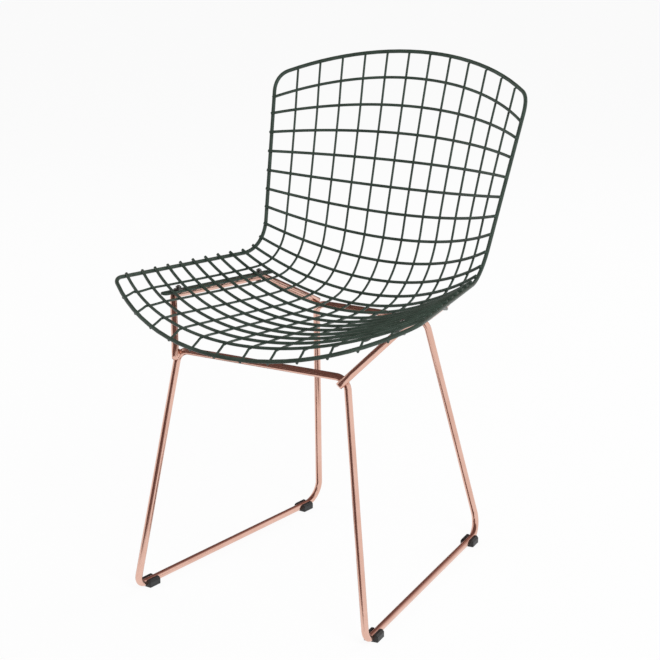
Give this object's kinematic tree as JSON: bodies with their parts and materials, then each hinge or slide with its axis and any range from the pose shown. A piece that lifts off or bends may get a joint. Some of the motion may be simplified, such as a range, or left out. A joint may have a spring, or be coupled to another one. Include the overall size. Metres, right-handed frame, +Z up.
{
  "type": "wire mesh chair",
  "caption": "Chair with a welded wire mesh bucket shell, bowed back and flared seat, bolted by hairpin rails to a bent rod sled frame with floor glides.",
  "frame": {"origin": "On the floor, under the middle of the chair's length and width", "axes": "+Z up, -Y towards the front of the seat, +X to the right of someone looking at the chair's front"},
  "size_m": [0.5064, 0.5725, 0.7627],
  "materials": {
    "mesh_powder_coat": "satin",
    "frame_plating": "polished",
    "glide_plastic": "matte",
    "fastener_zinc": "satin"
  },
  "bodies": {
    "root": {"bolts": "fastener_zinc", "cross_wire_01": "mesh_powder_coat", "cross_wire_02": "mesh_powder_coat", "cross_wire_03": "mesh_powder_coat", "cross_wire_04": "mesh_powder_coat", "cross_wire_05": "mesh_powder_coat", "cross_wire_06": "mesh_powder_coat", "cross_wire_07": "mesh_powder_coat", "cross_wire_08": "mesh_powder_coat", "cross_wire_09": "mesh_powder_coat", "cross_wire_10": "mesh_powder_coat", "cross_wire_11": "mesh_powder_coat", "cross_wire_12": "mesh_powder_coat", "cross_wire_13": "mesh_powder_coat", "cross_wire_14": "mesh_powder_coat", "cross_wire_15": "mesh_powder_coat", "cross_wire_16": "mesh_powder_coat", "cross_wire_17": "mesh_powder_coat", "cross_wire_18": "mesh_powder_coat", "cross_wire_19": "mesh_powder_coat", "cross_wire_20": "mesh_powder_coat", "glide_front_left": "glide_plastic", "glide_front_right": "glide_plastic", "glide_rear_left": "glide_plastic", "glide_rear_right": "glide_plastic", "leg_frame_left": "frame_plating", "leg_frame_right": "frame_plating", "length_wire_01": "mesh_powder_coat", "length_wire_02": "mesh_powder_coat", "length_wire_03": "mesh_powder_coat", "length_wire_04": "mesh_powder_coat", "length_wire_05": "mesh_powder_coat", "length_wire_06": "mesh_powder_coat", "length_wire_07": "mesh_powder_coat", "length_wire_08": "mesh_powder_coat", "length_wire_09": "mesh_powder_coat", "length_wire_10": "mesh_powder_coat", "length_wire_11": "mesh_powder_coat", "length_wire_12": "mesh_powder_coat", "mounting_rail_left": "mesh_powder_coat", "mounting_rail_right": "mesh_powder_coat", "nuts": "fastener_zinc", "rim": "mesh_powder_coat", "seat_support_left": "frame_plating", "seat_support_right": "frame_plating", "washers": "fastener_zinc"}
  },
  "joints": []
}
